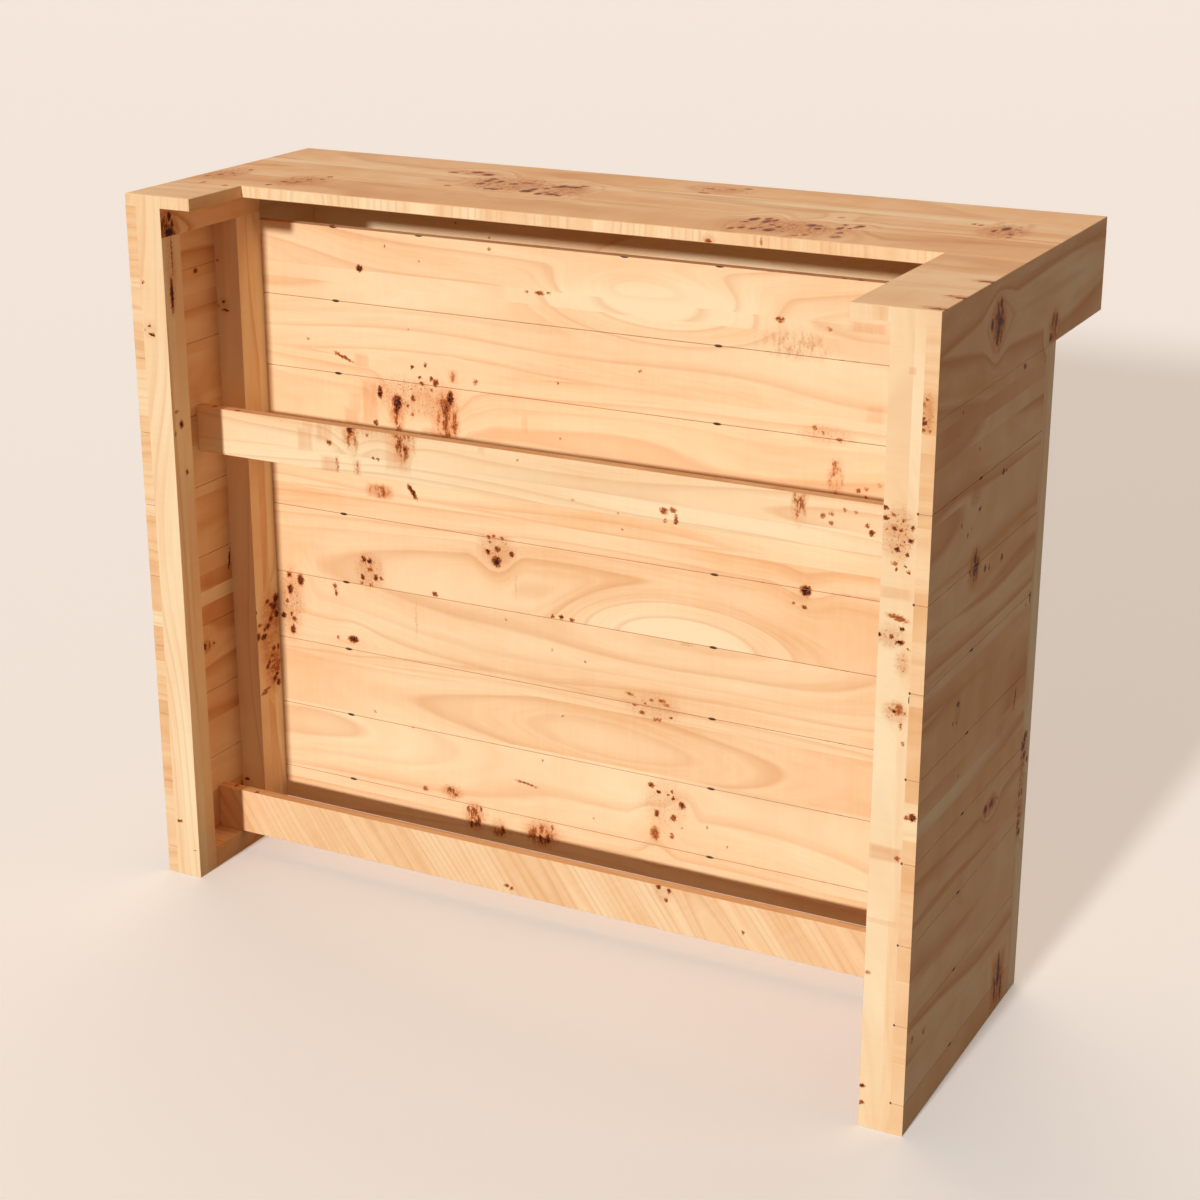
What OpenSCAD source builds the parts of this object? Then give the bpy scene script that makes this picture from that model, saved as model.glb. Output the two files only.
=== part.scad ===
// Garden bar: two side panels and a front panel of horizontal boards, under an overhanging plank top.
// The left side panel and its arm of the top are set back from the server's edge.
// The origin is on the ground under the middle of the bar.
// +X is the server's right, +Y the customer's side and +Z up.

/* [Overall] */
// Width over both side panels
bar_w = 1335.5; // [1100:0.5:1600]
// Depth of the top, from the right arm's near end to the customer's edge
bar_d = 680.5; // [640:0.5:740]
// Height of the top above the ground
bar_h = 1100; // [1000:1:1150]
// Depth of the right side panel, with the front panel in it
base_d = 468.5; // [440:0.5:500]
// How far the left side panel and arm stand back from the right ones
left_setback = 201; // [0:1:230]

/* [Boards] */
// Thickness of cladding boards, aprons and rails
board_t = 18; // [15:0.5:22]
// Width that one board covers
board_w = 115.2; // [110:0.2:125]
// A strip narrower than this is left on the board above it
rip_min = 12; // [5:1:20]
// Flat cut along each long edge
arris = 1; // [0.4:0.1:2]
// Width of the vertical trim at each far corner
trim_w = 38.5; // [30:0.5:44]

/* [Top] */
// Thickness of the top's planks
top_t = 18; // [16:0.5:28]
// Depth of the long part of the top
counter_d = 348.5; // [320:0.5:380]
// Width of the plank along the customer's edge
far_plank_w = 98.5; // [80:0.5:115]
// Width of the plank beside it
mid_plank_w = 111; // [90:0.5:120]
// Width of the arm over each side panel
arm_w = 115; // [90:0.5:140]
// Height of the aprons and the fascia under the top
apron_h = 114.5; // [90:0.5:130]

/* [Side frames] */
// Thickness of the frame inside the cladding
frame_t = 44; // [38:0.5:50]
// Depth of the near stile
near_stile_w = 44; // [38:0.5:60]
// Depth of the far stile
far_stile_w = 63; // [55:0.5:75]
// Height of the top rail
top_rail_h = 44; // [38:0.5:55]
// Height of the bottom rail
bottom_rail_h = 35; // [28:0.5:45]

/* [Front panel] */
// Air gap between the top and the front panel
front_gap = 56.5; // [40:0.5:80]
// Height of the front panel's lower edge above the ground
front_z0 = 46; // [20:0.5:80]

/* [Server's rails] */
// Height of each rail board
rail_w = 73; // [60:0.5:90]
// Height of the mid rail's lower edge above the ground
mid_rail_z0 = 679; // [500:1:800]
// Distance of the rails behind the right side panel's near edge
rail_y = 319.5; // [280:0.5:340]

/* [Battens] */
// Width of each batten under the counter
batten_w = 44; // [30:1:60]
// Thickness of each batten
batten_t = 20; // [16:0.5:24]
// Length of each batten under the near plank
batten_lap = 41; // [30:1:60]
// Distance of each outer batten's middle from the side's outer face
batten_inset = 218; // [190:1:300]

/* [Fixings] */
// Diameter of the finishing nails
nail_d = 2; // [1.6:0.1:2.6]
// Length of the finishing nails
nail_len = 40; // [30:1:44]
// Filled depth over each nail head
nail_set = 1; // [0.5:0.1:2]
// Diameter of the frame dowels
dowel_d = 10; // [6:1:11]
// Length of the frame dowels
dowel_len = 60; // [40:1:66]
// Distance of dowels and long screws from the frame's inner face
inner_edge = 10; // [8:0.5:12]
// Diameter of the screws
screw_d = 4; // [3:0.5:5]
// Diameter of the countersunk screw heads
head_d = 8; // [6.5:0.5:9]
// How far a screw goes into a top plank
plank_bite = 11; // [8:0.5:13]
// Clearance round each fixing
fit = 0.05; // [0.02:0.01:0.1]

/* [Hidden] */
$fn = 32;

near_y = -bar_d / 2;
far_y = bar_d / 2;
half_w = bar_w / 2;
top_z0 = bar_h - top_t;
apron_z0 = top_z0 - apron_h;
front_z1 = top_z0 - front_gap;

panel_far = near_y + base_d;
panel_near = panel_far - board_t;
trim_near = panel_far - trim_w;
stile_near = panel_near - far_stile_w;
stile_z1 = top_z0 - top_rail_h;
side_t = board_t + frame_t;

counter_near = far_y - counter_d;
far_seam = far_y - far_plank_w;
mid_seam = far_seam - mid_plank_w;
fascia_near = far_y - board_t;
rail_near = near_y + rail_y;
batten_near = mid_seam - batten_lap;

side_rows = ceil((apron_z0 - rip_min) / board_w);
front_rows = ceil((front_z1 - front_z0 - rip_min) / board_w);
trim_nails = 5;
quarters = [0.25, 0.75];
thirds = [1 / 3, 2 / 3];
far_nail_y = (stile_near + trim_near) / 2;
trim_nail_y = (trim_near + panel_near) / 2;
dowel_in = side_t - inner_edge;
head_h = (head_d - screw_d) / 2;
batten_xs = [batten_inset - half_w, 0, half_w - batten_inset];

LEFT = -1;
RIGHT = 1;
SIDES = [LEFT, RIGHT];
BATTENS = ["left", "middle", "right"];

// The near edge of a side panel
function side_near(side) = side == RIGHT ? near_y : near_y + left_setback;

// The X of a plane so deep inside a side's outer face
function inset_x(side, depth) = side * (half_w - depth);

// Rows are counted from the top down, and the last one takes what is left
function row_z1(row, z1) = z1 - (row - 1) * board_w;
function row_z0(row, rows, z1, z0) = row == rows ? z0 : z1 - row * board_w;

// Heights at a quarter and three quarters of a piece
function nail_heights(z0, z1) = [for (share = quarters) z0 + share * (z1 - z0)];
function side_row_heights(row) = nail_heights(row_z0(row, side_rows, apron_z0, 0), row_z1(row, apron_z0));
function front_row_heights(row) =
    nail_heights(row_z0(row, front_rows, front_z1, front_z0), row_z1(row, front_z1));

// The two depths at which a side is nailed to its stiles
function stile_nail_ys(side) = [side_near(side) + near_stile_w / 2, far_nail_y];

// Nails through a side, each as its Y and Z
function row_nails(side, row) = [for (y = stile_nail_ys(side), z = side_row_heights(row)) [y, z]];
function cladding_nails(side) = [for (row = [1:side_rows], nail = row_nails(side, row)) nail];
function apron_nails(side) = [for (y = stile_nail_ys(side), z = nail_heights(apron_z0, top_z0)) [y, z]];
function fascia_nails() = [for (z = nail_heights(apron_z0, top_z0)) [fascia_near + board_t / 2, z]];
function corner_nails() = [for (i = [1:trim_nails]) [trim_nail_y, apron_z0 * (i - 0.5) / trim_nails]];
function rail_nails(z0) = [for (z = nail_heights(z0, z0 + rail_w)) [rail_near + board_t / 2, z]];
function both_rail_nails() = concat(rail_nails(bottom_rail_h), rail_nails(mid_rail_z0));

// Screws up through a side's top rail, each as its Y: two under the arm and one under the counter
function arm_screw_ys(side) =
    let (first = side_near(side) + near_stile_w) [for (share = thirds) first + share * (counter_near - first)];
function top_screw_ys(side) = concat(arm_screw_ys(side), [(counter_near + stile_near) / 2]);

// Screws up through each batten, each as its Y
function lap_ys(y0, y1) = [for (share = quarters) y0 + share * (y1 - y0)];
near_plank_ys = lap_ys(batten_near, mid_seam);
mid_plank_ys = lap_ys(mid_seam, far_seam);
far_plank_ys = lap_ys(far_seam, fascia_near);

// Rectangle with its four corners cut at 45 degrees
module eased(width, height) {
    polygon([
        [arris, 0], [width - arris, 0], [width, arris], [width, height - arris],
        [width - arris, height], [arris, height], [0, height - arris], [0, arris]
    ]);
}

// Timber between two corners, with its long edges eased
module timber_x(low, high) {
    size = high - low;
    translate(low) rotate([90, 0, 90]) linear_extrude(size.x) eased(size.y, size.z);
}

module timber_y(low, high) {
    size = high - low;
    translate([low.x, high.y, low.z]) rotate([90, 0, 0]) linear_extrude(size.y) eased(size.x, size.z);
}

module timber_z(low, high) {
    size = high - low;
    translate(low) linear_extrude(size.z) eased(size.x, size.y);
}

// Corners of a piece that lies between two depths inside a side's outer face
function side_low(side, depths, y, z) =
    [min(inset_x(side, depths[0]), inset_x(side, depths[1])), y, z];
function side_high(side, depths, y, z) =
    [max(inset_x(side, depths[0]), inset_x(side, depths[1])), y, z];

module side_timber_y(side, depths, y0, y1, z0, z1) {
    timber_y(side_low(side, depths, y0, z0), side_high(side, depths, y1, z1));
}

module side_timber_z(side, depths, y0, y1, z0, z1) {
    timber_z(side_low(side, depths, y0, z0), side_high(side, depths, y1, z1));
}

// Round pin from the origin up, and the hole for it when grown by the clearance
module pin(diameter, length, grow) {
    translate([0, 0, -grow]) cylinder(h = length + 2 * grow, d = diameter + 2 * grow);
}

// Nail driven inwards from a side's outer face
module side_nail(side, nail, grow = 0) {
    translate([inset_x(side, nail_set), nail[0], nail[1]]) rotate([0, -side * 90, 0])
        pin(nail_d, nail_len, grow);
}

// Nail driven from the customer's side into a far stile
module front_nail(side, z, grow = 0) {
    translate([inset_x(side, dowel_in), panel_far - nail_set, z]) rotate([90, 0, 0])
        pin(nail_d, nail_len, grow);
}

// Countersunk screw that points up, with its head at the origin
module screw(length, grow = 0) {
    pin(screw_d, length, grow);
    cylinder(h = head_h, d1 = head_d + 2 * grow, d2 = screw_d + 2 * grow);
}

module batten_screw(x, y, grow = 0) {
    translate([x, y, top_z0 - batten_t]) screw(batten_t + plank_bite, grow);
}

module top_screw(side, y, grow = 0) {
    translate([inset_x(side, dowel_in), y, stile_z1]) screw(top_rail_h + plank_bite, grow);
}

// Dowel down from a top rail into a stile
module upright_dowel(side, y, grow = 0) {
    translate([inset_x(side, dowel_in), y, stile_z1 - dowel_len / 2]) pin(dowel_d, dowel_len, grow);
}

// Dowel from a bottom rail into a stile
module level_dowel(side, y, grow = 0) {
    translate([inset_x(side, dowel_in), y + dowel_len / 2, bottom_rail_h / 2]) rotate([90, 0, 0])
        pin(dowel_d, dowel_len, grow);
}

function near_dowel_y(side) = side_near(side) + near_stile_w / 2;
function far_dowel_y() = stile_near + near_stile_w / 2;

// Top
module counter_plank(y0, y1, screw_ys) {
    color("wheat") difference() {
        timber_x([-half_w, y0, top_z0], [half_w, y1, bar_h]);
        for (x = batten_xs, y = screw_ys) batten_screw(x, y, fit);
    }
}

module counter_plank_near() {
    difference() {
        counter_plank(counter_near, mid_seam, near_plank_ys);
        for (side = SIDES, y = top_screw_ys(side)) top_screw(side, y, fit);
    }
}

module counter_plank_middle() {
    counter_plank(mid_seam, far_seam, mid_plank_ys);
}

module counter_plank_far() {
    counter_plank(far_seam, far_y, far_plank_ys);
}

module arm_plank(side) {
    color("wheat") difference() {
        side_timber_y(side, [0, arm_w], side_near(side), counter_near, top_z0, bar_h);
        for (y = top_screw_ys(side)) top_screw(side, y, fit);
    }
}

// Aprons and fascia
module apron(side) {
    color("burlywood") difference() {
        side_timber_y(side, [0, board_t], side_near(side), far_y, apron_z0, top_z0);
        for (nail = concat(apron_nails(side), fascia_nails())) side_nail(side, nail, fit);
    }
}

module fascia() {
    color("burlywood") difference() {
        timber_x([board_t - half_w, fascia_near, apron_z0], [half_w - board_t, far_y, top_z0]);
        for (side = SIDES, nail = fascia_nails()) side_nail(side, nail, fit);
    }
}

// Cladding
module side_board(side, row) {
    z0 = row_z0(row, side_rows, apron_z0, 0);
    z1 = row_z1(row, apron_z0);
    color("burlywood") difference() {
        side_timber_y(side, [0, board_t], side_near(side), trim_near, z0, z1);
        for (nail = concat(row_nails(side, row), both_rail_nails())) side_nail(side, nail, fit);
    }
}

module front_board(row) {
    z0 = row_z0(row, front_rows, front_z1, front_z0);
    z1 = row_z1(row, front_z1);
    color("burlywood") difference() {
        timber_x([board_t - half_w, panel_near, z0], [half_w - board_t, panel_far, z1]);
        for (side = SIDES, z = front_row_heights(row)) front_nail(side, z, fit);
    }
}

module corner_trim(side) {
    color("wheat") difference() {
        side_timber_z(side, [0, board_t], trim_near, panel_far, 0, apron_z0);
        for (nail = corner_nails()) side_nail(side, nail, fit);
    }
}

// Side frames
module near_stile(side) {
    y0 = side_near(side);
    color("sandybrown") difference() {
        side_timber_z(side, [board_t, side_t], y0, y0 + near_stile_w, 0, stile_z1);
        for (nail = concat(cladding_nails(side), apron_nails(side))) {
            if (nail[0] < y0 + near_stile_w) side_nail(side, nail, fit);
        }
        upright_dowel(side, near_dowel_y(side), fit);
        level_dowel(side, y0 + near_stile_w, fit);
    }
}

module far_stile(side) {
    color("sandybrown") difference() {
        side_timber_z(side, [board_t, side_t], stile_near, panel_near, 0, stile_z1);
        for (nail = concat(cladding_nails(side), apron_nails(side), corner_nails())) {
            if (nail[0] > stile_near) side_nail(side, nail, fit);
        }
        for (row = [1:front_rows], z = front_row_heights(row)) front_nail(side, z, fit);
        upright_dowel(side, far_dowel_y(), fit);
        level_dowel(side, stile_near, fit);
    }
}

module top_rail(side) {
    color("sandybrown") difference() {
        side_timber_y(side, [board_t, side_t], side_near(side), panel_near, stile_z1, top_z0);
        for (nail = apron_nails(side)) side_nail(side, nail, fit);
        for (y = [near_dowel_y(side), far_dowel_y()]) upright_dowel(side, y, fit);
        for (y = top_screw_ys(side)) top_screw(side, y, fit);
    }
}

module bottom_rail(side) {
    y0 = side_near(side) + near_stile_w;
    color("sandybrown") difference() {
        side_timber_y(side, [board_t, side_t], y0, stile_near, 0, bottom_rail_h);
        for (y = [y0, stile_near]) level_dowel(side, y, fit);
    }
}

// Rails on the server's side
module cross_rail(z0) {
    color("burlywood") difference() {
        timber_x([board_t - half_w, rail_near, z0], [half_w - board_t, rail_near + board_t, z0 + rail_w]);
        for (side = SIDES, nail = rail_nails(z0)) side_nail(side, nail, fit);
    }
}

module mid_rail() {
    cross_rail(mid_rail_z0);
}

module lower_rail() {
    cross_rail(bottom_rail_h);
}

// Batten under the counter
module batten(x) {
    low = [x - batten_w / 2, batten_near, top_z0 - batten_t];
    high = [x + batten_w / 2, fascia_near, top_z0];
    color("tan") difference() {
        timber_y(low, high);
        for (y = concat(near_plank_ys, mid_plank_ys, far_plank_ys)) batten_screw(x, y, fit);
    }
}

// Fixings
module front_nails() {
    color("silver") for (side = SIDES, row = [1:front_rows], z = front_row_heights(row)) front_nail(side, z);
}

module side_nails(side) {
    all_nails = concat(
        cladding_nails(side), apron_nails(side), fascia_nails(), corner_nails(), both_rail_nails()
    );
    color("silver") for (nail = all_nails) side_nail(side, nail);
}

module frame_dowels() {
    color("peru") for (side = SIDES) {
        for (y = [near_dowel_y(side), far_dowel_y()]) upright_dowel(side, y);
        for (y = [side_near(side) + near_stile_w, stile_near]) level_dowel(side, y);
    }
}

module batten_screws() {
    ys = concat(near_plank_ys, mid_plank_ys, far_plank_ys);
    color("silver") for (x = batten_xs, y = ys) batten_screw(x, y);
}

module top_screws() {
    color("silver") for (side = SIDES, y = top_screw_ys(side)) top_screw(side, y);
}

counter_plank_near();
counter_plank_middle();
counter_plank_far();
arm_plank(LEFT);  // left_arm_plank
arm_plank(RIGHT);  // right_arm_plank
apron(LEFT);  // left_apron
apron(RIGHT);  // right_apron
fascia();
corner_trim(LEFT);  // left_corner_trim
corner_trim(RIGHT);  // right_corner_trim
near_stile(LEFT);  // left_near_stile
far_stile(LEFT);  // left_far_stile
top_rail(LEFT);  // left_top_rail
bottom_rail(LEFT);  // left_bottom_rail
near_stile(RIGHT);  // right_near_stile
far_stile(RIGHT);  // right_far_stile
top_rail(RIGHT);  // right_top_rail
bottom_rail(RIGHT);  // right_bottom_rail
mid_rail();
lower_rail();
batten(batten_xs[0]);  // left_batten
batten(batten_xs[1]);  // middle_batten
batten(batten_xs[2]);  // right_batten
front_nails();
side_nails(LEFT);  // left_side_nails
side_nails(RIGHT);  // right_side_nails
frame_dowels();
batten_screws();
top_screws();
for (row = [1:front_rows]) front_board(row);
for (row = [1:side_rows]) side_board(LEFT, row);
for (row = [1:side_rows]) side_board(RIGHT, row);
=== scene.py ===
# Garden bar in knotty poplar: its timber, the figure and knots of every face, and a plain studio.
import math

import bmesh
import bpy
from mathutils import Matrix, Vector


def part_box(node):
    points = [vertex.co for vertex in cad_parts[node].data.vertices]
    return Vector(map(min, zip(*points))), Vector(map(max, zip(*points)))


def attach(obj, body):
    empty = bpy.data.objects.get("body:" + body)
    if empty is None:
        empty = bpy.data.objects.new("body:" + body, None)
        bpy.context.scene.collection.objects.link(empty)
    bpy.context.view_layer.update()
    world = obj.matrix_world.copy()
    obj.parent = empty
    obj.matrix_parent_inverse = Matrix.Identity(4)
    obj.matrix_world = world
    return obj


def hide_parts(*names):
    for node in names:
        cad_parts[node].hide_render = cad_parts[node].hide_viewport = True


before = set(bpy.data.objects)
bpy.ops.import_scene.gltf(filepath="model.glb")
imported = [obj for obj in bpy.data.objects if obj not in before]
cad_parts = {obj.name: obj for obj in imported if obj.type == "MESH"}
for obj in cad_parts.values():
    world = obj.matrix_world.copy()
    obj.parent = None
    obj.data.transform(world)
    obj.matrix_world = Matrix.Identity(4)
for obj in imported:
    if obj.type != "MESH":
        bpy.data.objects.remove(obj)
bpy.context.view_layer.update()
print("frame:", len(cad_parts), "nodes")

scene = bpy.context.scene
mm = 0.001

# The photograph's own view: from the server's right, a little above the counter
view = {
    "eye": (1.558, -2.923, 1.706),
    "aim": (0.000, 0.090, 0.502),
    "lens": 71.4,
    "sensor": 36,
}
cameraData = bpy.data.cameras.new("camera")
cameraData.lens = view["lens"]
cameraData.sensor_width = view["sensor"]
camera = bpy.data.objects.new("camera", cameraData)
camera.location = view["eye"]
camera.rotation_euler = (Vector(view["aim"]) - Vector(view["eye"])).to_track_quat("-Z", "Y").to_euler()
scene.collection.objects.link(camera)
scene.camera = camera
print("camera placed")


# An sRGB hex colour, turned to the linear values that Blender works in
def hexColour(text):
    parts = [int(text[i:i + 2], 16) / 255 for i in (1, 3, 5)]
    return [c / 12.92 if c <= 0.04045 else ((c + 0.055) / 1.055) ** 2.4 for c in parts] + [1]


# Adds a node: its settings by name, its inputs as values, or as the nodes and sockets linked to them, and
# a ramp's stops as places with their colours or greys
def addNode(tree, kind, inputs, stops=(), **settings):
    node = tree.nodes.new(kind if kind.startswith("NodeGroup") else "ShaderNode" + kind)
    for name, value in settings.items():
        setattr(node, name, value)
    for socket, value in inputs.items():
        if isinstance(value, bpy.types.Node):
            value = value.outputs[0]
        if isinstance(value, bpy.types.NodeSocket):
            tree.links.new(value, node.inputs[socket])
        else:
            node.inputs[socket].default_value = value
    for i, (position, colour) in enumerate(stops):
        stop = node.color_ramp.elements[i] if i < 2 else node.color_ramp.elements.new(position)
        stop.position = position
        stop.color = hexColour(colour) if isinstance(colour, str) else (colour, colour, colour, 1)
    return node


# Poplar, sawn, planed and sanded, with a thin clear oil: pale cream to honey, low contrast, silky
# more than glossy. Burr knots leave it with near-black eyes in a red-brown stain.
poplar = {
    "wood": [(0.1, "#fae0b5"), (0.35, "#f8d1a2"), (0.63, "#edb984"), (1.0, "#d99a62")],
    "late": "#d6935c",    # the thin hard line that closes a year's growth
    "tint": {"patches": "#cf8449", "inlays": "#d8803f"},    # where sap has run, and glued-in burr
    "cover": {"patches": (0.5, 0.85), "inlays": (0.75, 1)},    # least and most of it, across the curl
    "stain": [(0.12, "#dd9a62"), (0.46, "#ad5e30"), (0.8, "#632d18"), (1.0, "#22110b")],
    # near black: painted shade, for the dark inside of the small holes at the joints
    "gap": "#170d07",
    "roughness": (0.54, 0.68),
    "ior": 1.5,
    "specular": 0.12,     # low, because sanded wood scatters most of its gloss
    "grip": 0.15,         # mm that the sanded fibre stands proud, more than real so that it shows
    "bump": 0.2,          # and the share of it that turns the light
}

# How its figure is laid out, in mm unless a note says otherwise. Three sizes in a row run along the grain,
# across it and into the wood.
figure = {
    "log": 4000,               # each lath is cut from its own stretch of a log this long
    "turnBack": 115,           # across the grain, half the way from one heart to the next
    "heart": 60,               # most that chance moves a lath's heart across the grain
    "pith": 60,                # how far every heart lies to the minus side of the frame's origin
    "ring": 10,                # from one growth ring to the next
    "season": [(0.0, 0.0), (0.55, 0.1), (0.88, 1.0), (1.0, 0.0)],    # how the late line comes in one year
    "lateShare": 0.4,          # share of the colour that the strongest line takes
    "bow": 50,                 # most that a ring strays from its circle
    "bend": (770, 200, 200),   # and over what length it does
    "band": 250,               # along the grain, what counts as one ring's width in the soft bands
    "bandsToRing": 0.6,        # how many of them in one ring's width
    "broadToBend": 2.4,        # how many broad lighter or darker places in the length of a bend
    "fibre": 2.0,              # across one fibre streak, coarser than real so that it shows
    "thread": 66,              # and along it
    "curl": (7, 80, 80),       # silky curl, in waves across the grain
    "pores": (33, 2, 2),       # the straight fibre that roughens the surface
    "comb": (8, 22, 22),       # the teeth of a burr streak
    "teeth": (0.42, 0.62),     # the part of their noise over which they come in
    "leastTooth": 0.25,        # share of a streak that is left between them
    "ragged": 4,               # the size of the dents in a knot's outline
    "wander": 11,              # and from the deepest of them to the highest
    "overlap": 4,              # a mark this far outside a node still strays into it
    "push": 1.2,               # how many of its half sizes a knot pushes the rings aside
    "leastPush": 7,            # what pushes them less leaves them as they are
    "fleck": 2.8,              # specks in and round a knot
    "fleckNoise": (0.2, 0.8),  # the part of their noise that counts
    "fleckShares": (0.35, 1.5),    # what they make of a stain, at its palest and at its darkest
    "specks": (0.54, 0.74),    # the part of the same noise over which a patch gets dark specks
    "blotch": (0.35, 0.6),     # the part of the curl's noise over which a patch or an inlay darkens
    "cover": 0.35,             # a stain this strong hides the wood under it
    "domePales": 0.4,          # how much paler the middle of a dome is
    "spread": 0.7,             # how far up the wood's ramp a tone of 1 comes
}

# How much each kind of light and dark adds to the tone, from its palest to its darkest
toneShares = {"bands": 1.25, "broad": 0.5, "fibre": 0.24, "curl": 0.14, "lath": 0.15}

# How far each kind of mark reaches, in its own half sizes: where it starts to show, and where it is full
reach = {
    "eyes": (1.45, 0.4),
    "streaks": (1.4, 0.3),
    "patches": (1.35, 0.45),
    "inlays": (1.15, 0.6),
    "slots": (1.25, 0.8),
    "domes": (0.8, 0.15),
}

# And how far it pushes the rings aside, from where it starts to where it does so in full
pushReach = {
    "eyes": (7, 0.2),
    "domes": (1, 0.2),
}
markGroups = {}


# A kind of mark as one node, which keeps the stronger of what it leaves and what the marks before it left.
# One that swells also pushes the growth rings aside.
def markGroup(kind, swells, turned):
    if (kind, swells, turned) in markGroups:
        return markGroups[kind, swells, turned]
    group = bpy.data.node_groups.new(f"{kind}Mark", "ShaderNodeTree")
    for name in ("Place", "At", "Turn", "Half"):
        group.interface.new_socket(name=name, in_out="INPUT", socket_type="NodeSocketVector")
    for name in ("Strength", "Found", "Push", "Pushed"):
        group.interface.new_socket(name=name, in_out="INPUT", socket_type="NodeSocketFloat")
    for name in ("Found", "Pushed"):
        group.interface.new_socket(name=name, in_out="OUTPUT", socket_type="NodeSocketFloat")
    given = addNode(group, "NodeGroupInput", {}).outputs
    if turned:
        at = addNode(group, "Mapping", {
            "Vector": given["Place"], "Location": given["At"],
            "Rotation": given["Turn"], "Scale": given["Half"],
        }, vector_type="TEXTURE")
    else:
        at = addNode(group, "VectorMath", {0: given["Place"], 1: given["At"]}, operation="SUBTRACT")
        at = addNode(group, "VectorMath", {0: at, 1: given["Half"]}, operation="DIVIDE")
    if kind == "inlays":
        sides = addNode(group, "VectorMath", {0: at}, operation="ABSOLUTE")
        sides = addNode(group, "SeparateXYZ", {0: sides})
        away = addNode(group, "Math", {0: sides, 1: sides.outputs[1]}, operation="MAXIMUM")
        away = addNode(group, "Math", {0: away, 1: sides.outputs[2]}, operation="MAXIMUM")
    else:
        away = addNode(group, "VectorMath", {0: at}, operation="LENGTH").outputs["Value"]
    start, full = reach[kind]
    near = addNode(group, "MapRange", {
        "Value": away, "From Min": start, "From Max": full, "To Max": given["Strength"],
    }, interpolation_type="SMOOTHSTEP", clamp=False)
    left = addNode(group, "Math", {0: given["Found"], 1: near}, operation="MAXIMUM")
    pushed = given["Pushed"]
    if swells:
        start, full = pushReach[kind]
        wide = addNode(group, "MapRange", {
            "Value": away, "From Min": start, "From Max": full, "To Max": given["Push"],
        }, interpolation_type="SMOOTHSTEP", clamp=False)
        pushed = addNode(group, "Math", {0: pushed, 1: wide}, operation="ADD")
    addNode(group, "NodeGroupOutput", {"Found": left, "Pushed": pushed})
    markGroups[kind, swells, turned] = group
    return group


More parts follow.
